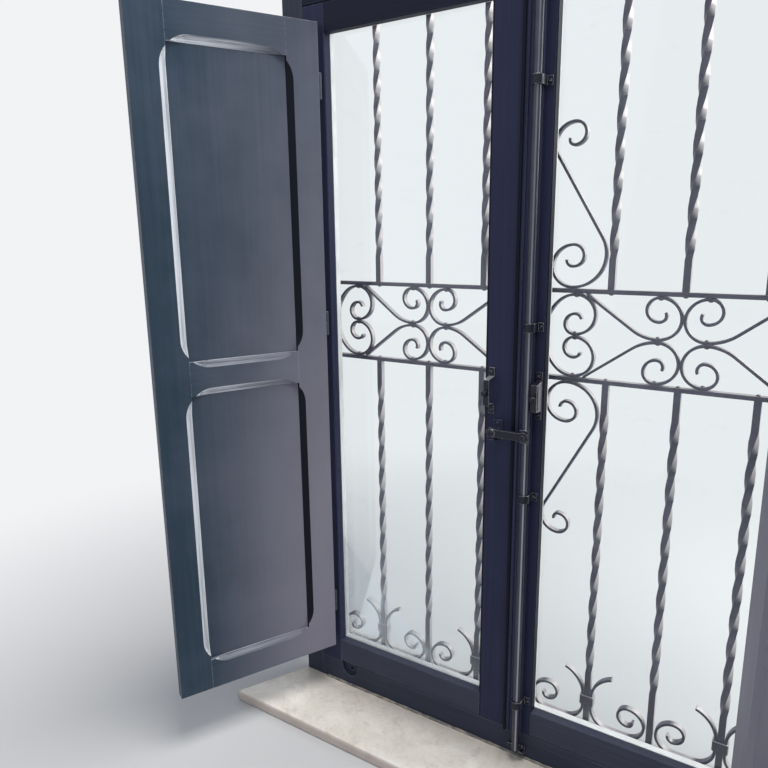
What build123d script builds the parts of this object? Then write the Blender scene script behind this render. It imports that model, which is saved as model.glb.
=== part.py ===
from build123d import *
import os
from math import asin, atan, cos, degrees, radians, sin, sqrt

os.makedirs("parts", exist_ok=True)

# A two-leaf window with inner shutters, a turning bolt rod and an outside grille of twisted bars.
# Millimetres: X across, +Y to the outside, +Z up. The leaves' room faces lie at Y 0, and the
# origin is on the underside of the marble sill, in the middle of its width.

# Driving dimensions: glass, leaves and frame
sight_width = 350.0  # clear glass of one leaf
sight_height = 1297.0
sight_gap = 112.5  # between the two panes, across both meeting stiles
outer_stile = 49.5
leaf_bottom_rail = 52.0
leaf_top_rail = 52.0
leaf_depth = 46.0
leaf_gap = 2.0  # round each leaf in its frame
jamb_width = 49.5
frame_bottom = 54.0
frame_head = 53.0
frame_depth = 60.0
stop_gap = 0.5  # behind the closed leaf
stop_reach = 14.0
arris = 1.5
lip_depth = 18.0  # wood on the room side of the glass
glass_rebate = 12.0
glass_thickness = 4.0
glass_clearance = 1.0
bead_top = 10.0
bead_slope = 6.0
bead_setback = 2.0
meeting_line = 7.0  # the leaves meet right of the middle
meeting_gap = 1.5
meeting_bevel = 3.5

# Sill, fixing holes and drains
sill_thickness = 20.0
sill_front = 158.0
sill_splay = 83.0  # each end widens by this at the front edge
sill_nose = 7.0
fixing_depth = 30.0
fixing_hole_r = 4.25
fixing_from_end = 260.0
drain_width = 44.0
drain_height = 32.0
drain_depth = 9.0
drain_from_jamb = 75.0
drain_hole_r = 4.0

# Leaf hinges
hinge_pin_y = -8.0
hinge_barrel_r = 7.0
hinge_pin_r = 3.0
running_gap = 0.05
hinge_height = 90.0
hinge_leaf_width = 23.0
plate_thickness = 2.0
knuckle_gap = 0.3
leaf_hinge_ends = 172.0  # hinge centres from the leaf's ends
hinge_finial = 4.0
finial_step = 1.0  # the finial's foot is this much smaller than its barrel
finial_taper_angle = 35.0

# Shutters
shutter_width = 354.0
shutter_thickness = 20.0
shutter_lap_bottom = 3.0
shutter_lap_top = 15.0
shutter_lap_side = 2.0
shutter_standoff = 0.3
shutter_board = 66.0  # stiles and rails
lower_panel_height = 560.0
panel_thickness = 6.0
groove_depth = 6.0
panel_edge_gap = 1.0
chamfer_width = 13.0
chamfer_depth = 6.8
chamfer_stop = 14.0
chamfer_runout = 28.0
left_open_angle = 115.7
right_open_angle = 112.0
shutter_pin_inset = 5.2  # from the pin's axis to the shutter's edge
shutter_pin_y = -9.0
shutter_knuckle_r = 4.5
shutter_pin_r = 2.0
shutter_hinge_height = 48.0
shutter_hinge_plate = 17.0
shutter_edge_plate = 14.0
shutter_hinge_ends = (108.0, 112.0)  # hinge centres from the shutter's bottom and top
shutter_hinge_rise = 85.0  # of the middle hinge above the shutter's middle

# Astragal and bolt rod
astragal_lap = 5.25  # over the left leaf
astragal_width = 38.0
astragal_depth = 12.0
astragal_relief = 1.2
reed_r = 2.2
rod_inset = 31.0  # from the astragal's left edge
rod_y = -20.5
rod_r = 7.0
rod_end_bottom = 28.0  # the rod ends this far above the sill
rod_end_top = 29.0
guide_wall = 2.8
guide_height = 15.0
guide_clearance = 0.3
guide_foot = 12.0
guide_foot_gap = 0.5  # beside the astragal
guide_levels = (0.018, 0.346, 0.586, 0.892)  # shares of the glass height
hook_inner_r = 11.8
hook_outer_r = 15.5
hook_start_angle = 80.0
hook_end_angle = 175.0
hook_web_angle = 25.0
hook_height = 9.0
keeper_width = 10.0
keeper_depth = 3.0
keeper_plate = 20.0
keeper_stud = (6.4, 7.1)  # from the rod's axis
keeper_stud_r = 1.8
keeper_clearance = 7.0
keeper_lap = 9.0

# Lever
lever_share = 0.437  # of the glass height
lever_length = 60.0
lever_thickness = 6.0
lever_hub_r = 9.5
lever_end_r = 10.5
lever_waist = 7.5
lever_gap = 0.3
boss_height = 24.0
boss_half = 8.0
boss_reach = 8.2
lever_pin_r = 3.0
lever_pin_head_r = 5.5
lever_pin_head = 2.6
rest_plate_width = 18.0
rest_plate_height = 34.0
rest_reach = 37.0
rest_thickness = 4.0

# Shutter catches
left_catch_inset = 14.0  # catch axis from its pane's sight edge
right_catch_inset = 8.5
catch_share = 0.4915
catch_strap = 11.0
catch_length = 86.0
catch_bridge = 48.0
catch_height = 26.5
catch_metal = 2.5
catch_slope = 3.0
tongue_reach = 18.0
tongue_width = 9.0
tongue_thickness = 2.5
tongue_gap = 0.5
spindle_r = 2.5
knob_r = 6.0
knob_length = 13.0
knob_neck = 4.5

# Grille
grille_y = 140.0
grille_spacing = 126.0
bar_size = 12.0
rail_depth = 14.0
rail_thickness = 8.0
grille_bottom = 33.0
band_bottom = 776.0
band_height = 160.0
grille_top = 1526.0
twist_quarter = 53.5
twist_steps = 3  # sections in a quarter turn
plain_end = 55.0
foot_plain = 120.0
collar_level = 97.0
collar_height = 20.0
collar_wall = 3.0
scroll_thickness = 5.0
weld_gap = 0.3
scroll_eye = (0.58, 0.32, 120.0)  # a scroll's inner turns: two shares of its curl, and the last angle
c_eye = (0.52, 0.32, 80.0)
c_back = 1.157  # radius of a C scroll's back, as a share of its half height
hook_start_share = 2.25  # along the rail, in curl radii
hook_bend = 2.0  # radius where it comes down to the middle line, in curl radii
lyre_foot_eye = (0.51, 0.31, 90.0)
lyre_head_eye = (0.56, 0.25, 110.0)
lyre_foot_r = 39.0
lyre_belly_r = 60.0
lyre_above_angle = 121.0  # lean of the straight
lyre_above_run = 172.7
lyre_below_angle = 118.0
lyre_below_run = 193.0
lyre_head_r = 36.0
foot_bend_r = 38.0
foot_spiral_r = 32.0
foot_spiral_gap = 11.5
foot_stem = 25.0
foot_tip_r = 56.0
foot_tip_angle = 72.0
foot_eye = (0.6, 0.32, 100.0)
scroll_depth = 12.0
arm_width = 30.0
arm_thickness = 6.0
arm_back = 20.0

# Levels and widths that follow from them
sight_inner = sight_gap / 2
sight_outer = sight_inner + sight_width
leaf_outer = sight_outer + outer_stile
reveal_x = leaf_outer + leaf_gap
frame_outer = reveal_x + jamb_width
frame_foot = sill_thickness
reveal_bottom = frame_foot + frame_bottom
leaf_bottom = reveal_bottom + leaf_gap
sight_bottom = leaf_bottom + leaf_bottom_rail
sight_top = sight_bottom + sight_height
leaf_top = sight_top + leaf_top_rail
reveal_top = leaf_top + leaf_gap
frame_top = reveal_top + frame_head
stop_y = leaf_depth + stop_gap
hinge_pin_x = leaf_outer + 1.0
glass_back = lip_depth + glass_thickness

shutter_bottom = sight_bottom - shutter_lap_bottom
shutter_top = sight_top + shutter_lap_top
shutter_pin_x = sight_outer + shutter_lap_side + shutter_pin_inset
back_depth = shutter_pin_y + shutter_standoff  # depths count from the pin towards the room
front_depth = back_depth + shutter_thickness
middle_depth = (back_depth + front_depth) / 2
shutter_near = shutter_pin_inset
shutter_far = shutter_near + shutter_width
panel_near = shutter_near + shutter_board
panel_far = shutter_far - shutter_board
lower_panel = (shutter_bottom + shutter_board, shutter_bottom + shutter_board + lower_panel_height)
upper_panel = (lower_panel[1] + shutter_board, shutter_top - shutter_board)

rod_bottom = sill_thickness + rod_end_bottom
rod_top = frame_top - rod_end_top
lever_z = sight_bottom + lever_share * sight_height
lever_y = rod_y - boss_reach - lever_gap
catch_z = sight_bottom + catch_share * sight_height
left_catch_x = left_catch_inset - sight_inner
right_catch_x = sight_inner - right_catch_inset
band_top = band_bottom + band_height
post_x = 4 * grille_spacing
astragal_left = meeting_line - astragal_lap
rod_x = astragal_left + rod_inset
sides = (("left", -1, left_open_angle), ("right", 1, right_open_angle))


def finish(part, name):
    """Label a finished piece and write it under its node's name."""
    part.label = name
    export_step(part, f"parts/{name}.step")


def outline(*points):
    """Fill a closed straight-sided profile in the sketch that is open."""
    with BuildLine() as border:
        Polyline(*points, close=True)
    make_face(border.line.edges())


def box_between(low, high, mode=Mode.ADD):
    """Add or cut a plain block between two corners."""
    size = [top - bottom for bottom, top in zip(low, high)]
    centre = [(top + bottom) / 2 for bottom, top in zip(low, high)]
    with Locations(tuple(centre)):
        Box(*size, mode=mode)


def facing_outside(y):
    """Plane across the window that looks to the outside; its local x runs against X."""
    return Plane(origin=(0, y, 0), x_dir=(-1, 0, 0), z_dir=(0, 1, 0))


# Frame

def jamb(side):
    with BuildPart() as part:
        with BuildSketch(Plane.XY.offset(frame_foot)):
            outline(
                (side * frame_outer, 0),
                (side * (reveal_x + arris), 0),
                (side * reveal_x, arris),
                (side * reveal_x, stop_y),
                (side * (reveal_x - stop_reach), stop_y),
                (side * (reveal_x - stop_reach), frame_depth),
                (side * frame_outer, frame_depth),
            )
        extrude(amount=frame_top - frame_foot)
        fixing_levels = (frame_foot + fixing_from_end, frame_top - fixing_from_end)
        with Locations(*[(side * frame_outer, fixing_depth, level) for level in fixing_levels]):
            Cylinder(fixing_hole_r, 3 * jamb_width, rotation=(0, 90, 0), mode=Mode.SUBTRACT)
    return part.part


frame_jambs = {side: jamb(side) for _, side, _ in sides}
finish(frame_jambs[-1], "frame_jamb_left")
finish(frame_jambs[1], "frame_jamb_right")


def frame_rail(outside, inside, inward):
    """A rail of the frame between the jambs; inward is +1 where the leaves stand above it."""
    with BuildPart() as part:
        with BuildSketch(Plane.YZ.offset(-reveal_x)):
            outline(
                (0, outside),
                (0, inside - inward * arris),
                (arris, inside),
                (stop_y, inside),
                (stop_y, inside + inward * stop_reach),
                (frame_depth, inside + inward * stop_reach),
                (frame_depth, outside),
            )
        extrude(amount=2 * reveal_x)
        add(frame_jambs[-1], mode=Mode.SUBTRACT)
        add(frame_jambs[1], mode=Mode.SUBTRACT)
        if inward > 0:
            for side in (-1, 1):
                drain_x = side * (reveal_x - drain_from_jamb)
                with BuildSketch(facing_outside(0)):
                    with Locations((-drain_x, inside)):
                        Ellipse(drain_width / 2, drain_height)
                extrude(amount=drain_depth, mode=Mode.SUBTRACT)
                with Locations((drain_x, frame_depth / 2, inside - drain_height / 2)):
                    Cylinder(drain_hole_r, 2 * frame_depth, rotation=(90, 0, 0), mode=Mode.SUBTRACT)
    return part.part


finish(frame_rail(frame_top, reveal_top, -1), "frame_head")
finish(frame_rail(frame_foot, reveal_bottom, 1), "frame_bottom_rail")

with BuildPart() as marble_sill:
    sill_corner = frame_outer + sill_splay
    with BuildSketch():
        outline(
            (-frame_outer, frame_depth),
            (-frame_outer, 0),
            (-sill_corner, -sill_front),
            (sill_corner, -sill_front),
            (frame_outer, 0),
            (frame_outer, frame_depth),
        )
    extrude(amount=sill_thickness)
    front_edges = marble_sill.edges().filter_by(Axis.X).group_by(Axis.Y)[0]
    fillet(front_edges.sort_by(Axis.Z)[-1], sill_nose)
finish(marble_sill.part, "marble_sill")

# Leaf hinges: a lower half with the pin on the frame, an upper half on the leaf

leaf_hinge_levels = (
    leaf_bottom + leaf_hinge_ends,
    (leaf_bottom + leaf_top) / 2,
    leaf_top - leaf_hinge_ends,
)


def barrel_profile(pin_x, plate_x):
    """Knuckle and plate of a hinge in plan: the plate lies on the wood at Y 0."""
    with Locations((pin_x, hinge_pin_y)):
        Circle(hinge_barrel_r)
    with Locations(((pin_x + plate_x) / 2, -plate_thickness / 2)):
        Rectangle(abs(plate_x - pin_x), plate_thickness)


with BuildPart() as leaf_hinge_frame_halves:
    for _, side, _ in sides:
        for level in leaf_hinge_levels:
            pin_x = side * hinge_pin_x
            low = level - hinge_height / 2
            with BuildSketch(Plane.XY.offset(low)):
                barrel_profile(pin_x, pin_x + side * hinge_leaf_width)
            extrude(amount=hinge_height / 2 - knuckle_gap / 2)
            with BuildSketch(Plane.XY.offset(low)):
                with Locations((pin_x, hinge_pin_y)):
                    Circle(hinge_pin_r)
            extrude(amount=hinge_height - hinge_finial)
            with BuildSketch(Plane(origin=(pin_x, hinge_pin_y, low), z_dir=(0, 0, -1))):
                Circle(hinge_barrel_r - finial_step)
            extrude(amount=hinge_finial, taper=finial_taper_angle)
finish(leaf_hinge_frame_halves.part, "leaf_hinge_frame_halves")


def leaf_hinge_half(side):
    with BuildPart() as part:
        pin_x = side * hinge_pin_x
        for level in leaf_hinge_levels:
            with BuildSketch(Plane.XY.offset(level + knuckle_gap / 2)):
                barrel_profile(pin_x, pin_x - side * hinge_leaf_width)
                with Locations((pin_x, hinge_pin_y)):
                    Circle(hinge_pin_r + running_gap, mode=Mode.SUBTRACT)
            extrude(amount=hinge_height / 2 - knuckle_gap / 2)
            with BuildSketch(Plane.XY.offset(level + hinge_height / 2)):
                with Locations((pin_x, hinge_pin_y)):
                    Circle(hinge_barrel_r - finial_step)
            extrude(amount=hinge_finial, taper=finial_taper_angle)
    return part.part


# Leaves

def leaf_stile(side, glass_x, room_x, outside_x):
    """Rebated stile: glass_x is its sight edge, room_x and outside_x its other edge at each face."""
    into_wood = 1 if room_x > glass_x else -1
    with BuildPart() as part:
        with BuildSketch(Plane.XY.offset(leaf_bottom)):
            outline(
                (room_x, 0),
                (glass_x + into_wood * arris, 0),
                (glass_x, arris),
                (glass_x, lip_depth),
                (glass_x + into_wood * glass_rebate, lip_depth),
                (glass_x + into_wood * glass_rebate, leaf_depth),
                (outside_x, leaf_depth),
            )
        extrude(amount=leaf_top - leaf_bottom)
    return part.part


def leaf_rail(stiles, low_x, high_x, outside, sight, into_wood):
    """Rebated rail, scribed between the two stiles."""
    with BuildPart() as part:
        with BuildSketch(Plane.YZ.offset(low_x - glass_rebate)):
            outline(
                (0, outside),
                (0, sight + into_wood * arris),
                (arris, sight),
                (lip_depth, sight),
                (lip_depth, sight + into_wood * glass_rebate),
                (leaf_depth, sight + into_wood * glass_rebate),
                (leaf_depth, outside),
            )
        extrude(amount=high_x - low_x + 2 * glass_rebate)
        for stile in stiles:
            add(stile, mode=Mode.SUBTRACT)
    return part.part


def glass_pane(low_x, high_x):
    hidden = glass_rebate - glass_clearance
    with BuildPart() as part:
        box_between(
            (low_x - hidden, lip_depth, sight_bottom - hidden),
            (high_x + hidden, glass_back, sight_top + hidden),
        )
    return part.part


def glazing_beads(low_x, high_x):
    """Wedge beads outside the glass, as one mitred frame."""
    middle = (-(low_x + high_x) / 2, (sight_bottom + sight_top) / 2)
    opening = 2 * (glass_rebate - bead_top)
    bead_depth = leaf_depth - bead_setback - glass_back
    with BuildPart() as part:
        with BuildSketch(facing_outside(glass_back)):
            with Locations(middle):
                Rectangle(high_x - low_x + 2 * glass_rebate, sight_height + 2 * glass_rebate)
        extrude(amount=bead_depth)
        with BuildSketch(facing_outside(glass_back)):
            with Locations(middle):
                Rectangle(high_x - low_x + opening, sight_height + opening)
        slope = degrees(atan(bead_slope / bead_depth))
        extrude(amount=bead_depth, taper=-slope, mode=Mode.SUBTRACT)
    return part.part


# Shutter hinges: a lower half with the pin on the leaf, an upper half let into the shutter's edge

shutter_hinge_levels = (
    shutter_bottom + shutter_hinge_ends[0],
    (shutter_bottom + shutter_top) / 2 + shutter_hinge_rise,
    shutter_top - shutter_hinge_ends[1],
)


def shutter_pins(side):
    pin_x = side * shutter_pin_x
    with BuildPart() as part:
        for level in shutter_hinge_levels:
            low = level - shutter_hinge_height / 2
            with BuildSketch(Plane.XY.offset(low)):
                with Locations((pin_x, shutter_pin_y)):
                    Circle(shutter_knuckle_r)
                riser = side * (shutter_knuckle_r - plate_thickness / 2)
                with Locations((pin_x + riser, shutter_pin_y / 2)):
                    Rectangle(plate_thickness, -shutter_pin_y)
                foot_x = pin_x + side * (shutter_hinge_plate + 2 * plate_thickness) / 2
                with Locations((foot_x, -plate_thickness / 2)):
                    Rectangle(shutter_hinge_plate - plate_thickness, plate_thickness)
            extrude(amount=shutter_hinge_height / 2 - knuckle_gap / 2)
            with BuildSketch(Plane.XY.offset(low)):
                with Locations((pin_x, shutter_pin_y)):
                    Circle(shutter_pin_r)
            extrude(amount=shutter_hinge_height - plate_thickness)
    return part.part


# Shutters stand open at rest, so their boards are drawn on planes turned about the pin

def shutter_plane(side, open_angle, depth):
    """Plane across a shutter: local x is along its width, local z points from the glass to the room."""
    turn = radians(open_angle)
    room = Vector(side * sin(turn), -cos(turn), 0)
    pin = Vector(side * shutter_pin_x, shutter_pin_y, 0)
    return Plane(origin=pin + room * depth, x_dir=(cos(turn), side * sin(turn), 0), z_dir=room)


def board(side, open_angle, across, upright, depths, mode=Mode.ADD):
    """A block of a shutter between two widths from the pin, two levels and two depths."""
    with BuildSketch(shutter_plane(side, open_angle, depths[0])) as face:
        with Locations((-side * sum(across) / 2, sum(upright) / 2)):
            Rectangle(across[1] - across[0], upright[1] - upright[0])
    extrude(face.sketch, amount=depths[1] - depths[0], mode=mode)


def stopped_chamfer(face, corner, along, length):
    """Cut a chamfer with curved run-outs along one side of a panel opening.

    The face plane looks outwards. The side starts at the corner and goes round with the opening
    on its left.
    """
    start = face.from_local_coords((corner[0], corner[1], 0))
    side_plane = Plane(
        origin=start,
        x_dir=face.x_dir * along[0] + face.y_dir * along[1],
        z_dir=face.z_dir,
    )
    turn = 2 * degrees(atan(chamfer_width / chamfer_runout))
    bend = chamfer_runout / sin(radians(turn))
    with BuildLine(side_plane) as run:
        lead_in = JernArc(
            (chamfer_stop, chamfer_width),
            (cos(radians(turn)), -sin(radians(turn))),
            bend,
            turn,
        )
        flat = Line(lead_in @ 1, (length - chamfer_stop - chamfer_runout, 0))
        JernArc(flat @ 1, (1.0, 0.0), bend, turn)
    profile_plane = Plane(
        origin=lead_in @ 0,
        x_dir=face.z_dir.cross(lead_in % 0),
        z_dir=lead_in % 0,
    )
    slope = chamfer_depth / chamfer_width
    proud = 1.0
    with BuildSketch(profile_plane) as profile:
        outline(
            (-chamfer_width - proud / slope, proud),
            (4 * proud, proud),
            (4 * proud, -chamfer_depth - 4 * proud * slope),
        )
    sweep(profile.sketch, path=run.line, mode=Mode.SUBTRACT)


def opening_sides(side, open_angle, panel):
    """Both faces of a shutter with the four sides of one panel opening, as seen from outside."""
    found = []
    for depth, outward in ((back_depth, -1), (front_depth, 1)):
        base = shutter_plane(side, open_angle, depth)
        face = Plane(origin=base.origin, x_dir=base.x_dir * outward, z_dir=base.z_dir * outward)
        near = -side * outward * panel_near
        far = -side * outward * panel_far
        low_x = min(near, far)
        high_x = max(near, far)
        wide = high_x - low_x
        tall = panel[1] - panel[0]
        found.append((face, "bottom", (low_x, panel[0]), (1, 0), wide))
        found.append((face, "near" if high_x == near else "far", (high_x, panel[0]), (0, 1), tall))
        found.append((face, "top", (high_x, panel[1]), (-1, 0), wide))
        found.append((face, "near" if low_x == near else "far", (low_x, panel[1]), (0, -1), tall))
    return found


def chamfer_openings(side, open_angle, edges):
    """Cut the chamfers that lie on this board; edges pairs each panel with the name of its side."""
    for panel, name in edges:
        for face, edge, corner, along, length in opening_sides(side, open_angle, panel):
            if edge == name:
                stopped_chamfer(face, corner, along, length)


groove = (middle_depth - panel_thickness / 2, middle_depth + panel_thickness / 2)
plate_depths = (middle_depth - shutter_edge_plate / 2, middle_depth + shutter_edge_plate / 2)


def shutter_stile(side, open_angle, edge):
    """Upright board; edge is near at the hinges and far at the free side."""
    across = (shutter_near, panel_near) if edge == "near" else (panel_far, shutter_far)
    slot = (panel_near - groove_depth, panel_near)
    if edge == "far":
        slot = (panel_far, panel_far + groove_depth)
    with BuildPart() as part:
        board(side, open_angle, across, (shutter_bottom, shutter_top), (back_depth, front_depth))
        for panel in (lower_panel, upper_panel):
            upright = (panel[0] - groove_depth, panel[1] + groove_depth)
            board(side, open_angle, slot, upright, groove, Mode.SUBTRACT)
        if edge == "near":
            for level in shutter_hinge_levels:
                sunk = (shutter_near, shutter_near + plate_thickness)
                upright = (level + knuckle_gap / 2, level + shutter_hinge_height / 2)
                board(side, open_angle, sunk, upright, plate_depths, Mode.SUBTRACT)
        chamfer_openings(side, open_angle, ((lower_panel, edge), (upper_panel, edge)))
    return part.part


def shutter_rail(side, open_angle, upright, edges):
    """Cross board between the stiles, grooved on each edge that meets a panel."""
    with BuildPart() as part:
        board(side, open_angle, (panel_near, panel_far), upright, (back_depth, front_depth))
        for panel, name in edges:
            level = panel[0] if name == "bottom" else panel[1]
            slot = (level - groove_depth, level) if name == "bottom" else (level, level + groove_depth)
            board(side, open_angle, (panel_near, panel_far), slot, groove, Mode.SUBTRACT)
        chamfer_openings(side, open_angle, edges)
    return part.part


def shutter_panel(side, open_angle, panel):
    tongue = groove_depth - panel_edge_gap
    with BuildPart() as part:
        across = (panel_near - tongue, panel_far + tongue)
        upright = (panel[0] - tongue, panel[1] + tongue)
        board(side, open_angle, across, upright, groove)
    return part.part


def shutter_hinge_half(side, open_angle):
    """Upper knuckles, each on a plate let into the shutter's edge."""
    pin_x = side * shutter_pin_x
    with BuildPart() as part:
        for level in shutter_hinge_levels:
            low = level + knuckle_gap / 2
            height = shutter_hinge_height / 2 - knuckle_gap / 2
            with BuildSketch(Plane.XY.offset(low)):
                with Locations((pin_x, shutter_pin_y)):
                    Circle(shutter_knuckle_r)
            extrude(amount=height)
            web = (0.0, shutter_near + plate_thickness)
            upright = (low, low + height)
            web_depths = (shutter_knuckle_r - plate_thickness, shutter_knuckle_r)
            board(side, open_angle, web, upright, web_depths)
            plate = (shutter_near, shutter_near + plate_thickness)
            board(side, open_angle, plate, upright, plate_depths)
            with Locations((pin_x, shutter_pin_y, low + height / 2)):
                Cylinder(shutter_pin_r + running_gap, 2 * height, mode=Mode.SUBTRACT)
    return part.part


for name, side, open_angle in sides:
    meeting_x = meeting_line + side * meeting_gap / 2
    outer = leaf_stile(side, side * sight_outer, side * leaf_outer, side * leaf_outer)
    meeting = leaf_stile(side, side * sight_inner, meeting_x, meeting_x + side * meeting_bevel)
    low_x, high_x = sorted((side * sight_inner, side * sight_outer))
    finish(outer, f"{name}_leaf_outer_stile")
    finish(meeting, f"{name}_leaf_meeting_stile")
    finish(leaf_rail((outer, meeting), low_x, high_x, leaf_top, sight_top, 1), f"{name}_leaf_top_rail")
    finish(leaf_rail((outer, meeting), low_x, high_x, leaf_bottom, sight_bottom, -1), f"{name}_leaf_bottom_rail")
    finish(glass_pane(low_x, high_x), f"{name}_glass")
    finish(glazing_beads(low_x, high_x), f"{name}_glazing_beads")
    finish(leaf_hinge_half(side), f"{name}_leaf_hinge_halves")
    finish(shutter_pins(side), f"{name}_shutter_pins")

    finish(shutter_stile(side, open_angle, "near"), f"{name}_shutter_hinge_stile")
    finish(shutter_stile(side, open_angle, "far"), f"{name}_shutter_free_stile")
    bottom_rail = shutter_rail(side, open_angle, (shutter_bottom, lower_panel[0]), ((lower_panel, "bottom"),))
    middle_edges = ((lower_panel, "top"), (upper_panel, "bottom"))
    middle_rail = shutter_rail(side, open_angle, (lower_panel[1], upper_panel[0]), middle_edges)
    top_rail = shutter_rail(side, open_angle, (upper_panel[1], shutter_top), ((upper_panel, "top"),))
    finish(bottom_rail, f"{name}_shutter_bottom_rail")
    finish(middle_rail, f"{name}_shutter_middle_rail")
    finish(top_rail, f"{name}_shutter_top_rail")
    finish(shutter_panel(side, open_angle, lower_panel), f"{name}_shutter_lower_panel")
    finish(shutter_panel(side, open_angle, upper_panel), f"{name}_shutter_upper_panel")
    finish(shutter_hinge_half(side, open_angle), f"{name}_shutter_hinge_halves")

# Astragal over the meeting line: a flat with three reeds, relieved where it laps the other leaf

with BuildPart() as astragal:
    astragal_right = astragal_left + astragal_width
    lap_end = meeting_line + meeting_gap / 2
    with BuildSketch(Plane.XY.offset(leaf_bottom)):
        outline(
            (astragal_left, -astragal_relief),
            (astragal_left, -astragal_depth + arris),
            (astragal_left + arris, -astragal_depth),
            (astragal_right - arris, -astragal_depth),
            (astragal_right, -astragal_depth + arris),
            (astragal_right, 0),
            (lap_end, 0),
            (lap_end, -astragal_relief),
        )
        reed_step = astragal_width / 5
        with Locations(*[(astragal_left + step * reed_step, -astragal_depth) for step in (1, 2, 3)]):
            Circle(reed_r, mode=Mode.SUBTRACT)
    extrude(amount=leaf_top - leaf_bottom)
finish(astragal.part, "astragal")

# Bolt rod with its guides, hooks and keepers

with BuildPart() as rod_guides:
    for share in guide_levels:
        level = sight_bottom + share * sight_height
        foot_x = astragal_right + guide_foot_gap
        with BuildSketch(Plane.XY.offset(level - guide_height / 2)):
            with Locations((rod_x, rod_y)):
                Circle(rod_r + guide_clearance + guide_wall)
            with Locations((foot_x + guide_wall / 2, rod_y / 2)):
                Rectangle(guide_wall, -rod_y)
            with Locations((foot_x + guide_foot / 2, -guide_wall / 2)):
                Rectangle(guide_foot, guide_wall)
            with Locations((rod_x, rod_y)):
                Circle(rod_r + guide_clearance, mode=Mode.SUBTRACT)
            with Locations((rod_x, -astragal_depth / 2)):
                Rectangle(2 * (astragal_right - rod_x), astragal_depth, mode=Mode.SUBTRACT)
        extrude(amount=guide_height)
finish(rod_guides.part, "rod_guides")

with BuildPart() as espagnolette_rod:
    with BuildSketch(Plane.XY.offset(rod_bottom)):
        with Locations((rod_x, rod_y)):
            Circle(rod_r)
    extrude(amount=rod_top - rod_bottom)
    chamfer(espagnolette_rod.edges().filter_by(GeomType.CIRCLE), arris)
    box_between(
        (rod_x - boss_half, rod_y - boss_reach, lever_z - boss_height / 2),
        (rod_x + boss_half, rod_y, lever_z + boss_height / 2),
    )
    with Locations((rod_x, rod_y - boss_reach / 2, lever_z)):
        Cylinder(lever_pin_r, boss_reach, rotation=(90, 0, 0), mode=Mode.SUBTRACT)
finish(espagnolette_rod.part, "espagnolette_rod")

with BuildPart() as rod_hooks:
    for low in (rod_bottom, rod_top - hook_height):
        with BuildSketch(Plane.XY.offset(low)):
            with BuildLine():
                hook_turn = hook_end_angle - hook_start_angle
                web_start = hook_end_angle - hook_web_angle
                inner = CenterArc((rod_x, rod_y), hook_inner_r, hook_start_angle, hook_turn - hook_web_angle)
                web_foot = CenterArc((rod_x, rod_y), rod_r, web_start, hook_web_angle)
                back = CenterArc((rod_x, rod_y), hook_outer_r, hook_start_angle, hook_turn)
                Line(inner @ 1, web_foot @ 0)
                Line(web_foot @ 1, back @ 1)
                Line(back @ 0, inner @ 0)
            make_face()
        extrude(amount=hook_height)
finish(rod_hooks.part, "rod_hooks")

with BuildPart() as rod_keepers:
    stud_x = rod_x + keeper_stud[0]
    stud_y = rod_y + keeper_stud[1]
    for rod_end, away in ((rod_bottom, -1), (rod_top, 1)):
        ledge = rod_end + away * keeper_clearance
        ledge_far = ledge + away * keeper_depth
        plate_end = ledge_far - away * keeper_plate / 2
        ledge_box = sorted((ledge, ledge_far))
        plate_box = sorted((plate_end, plate_end + away * keeper_plate))
        stud_box = sorted((ledge, rod_end - away * keeper_lap))
        low_x = stud_x - keeper_stud_r - keeper_depth / 4
        box_between((low_x, -keeper_depth, plate_box[0]), (low_x + keeper_width, 0, plate_box[1]))
        box_between((low_x, stud_y - keeper_stud_r, ledge_box[0]), (low_x + keeper_width, 0, ledge_box[1]))
        with Locations((stud_x, stud_y, sum(stud_box) / 2)):
            Cylinder(keeper_stud_r, stud_box[1] - stud_box[0])
finish(rod_keepers.part, "rod_keepers")

# Lever, on a pin in the rod's boss, resting on a ledge of the left leaf

with BuildPart() as lever:
    with BuildSketch(Plane.XZ.offset(-lever_y)):
        with Locations((rod_x, lever_z)):
            Circle(lever_hub_r)
        with Locations((rod_x - lever_length, lever_z)):
            Circle(lever_end_r)
        with Locations((rod_x - lever_length / 2, lever_z)):
            Rectangle(lever_length, 2 * lever_waist)
        with Locations((rod_x, lever_z)):
            Circle(lever_pin_r + running_gap, mode=Mode.SUBTRACT)
    extrude(amount=lever_thickness)
    round_edges = lever.faces().sort_by(Axis.Y)[0].outer_wire().edges()
    chamfer(round_edges, arris / 2)
finish(lever.part, "lever")

with BuildPart() as lever_pin:
    with BuildSketch(Plane.XZ.offset(-rod_y)):
        with Locations((rod_x, lever_z)):
            Circle(lever_pin_r)
    extrude(amount=boss_reach + lever_thickness + 2 * lever_gap)
    with BuildSketch(Plane.XZ.offset(-rod_y + boss_reach + lever_thickness + 2 * lever_gap)):
        with Locations((rod_x, lever_z)):
            Circle(lever_pin_head_r)
    extrude(amount=lever_pin_head)
    chamfer(lever_pin.faces().sort_by(Axis.Y)[0].edges(), lever_pin_head / 3)
finish(lever_pin.part, "lever_pin")

with BuildPart() as lever_rest:
    rest_x = rod_x - lever_length
    shelf = lever_z - lever_end_r - lever_gap
    box_between(
        (rest_x - rest_plate_width / 2, -keeper_depth, lever_z - rest_plate_height / 2),
        (rest_x + rest_plate_width / 2, 0, lever_z + rest_plate_height / 2),
    )
    with BuildSketch(Plane.YZ.offset(rest_x - rest_plate_width / 3)):
        outline(
            (0, shelf),
            (-rest_reach, shelf),
            (-rest_reach, shelf - rest_thickness / 2),
            (-keeper_depth, shelf - 2 * rest_thickness),
            (0, shelf - 2 * rest_thickness),
        )
    extrude(amount=rest_plate_width * 2 / 3)
finish(lever_rest.part, "lever_rest")

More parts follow.
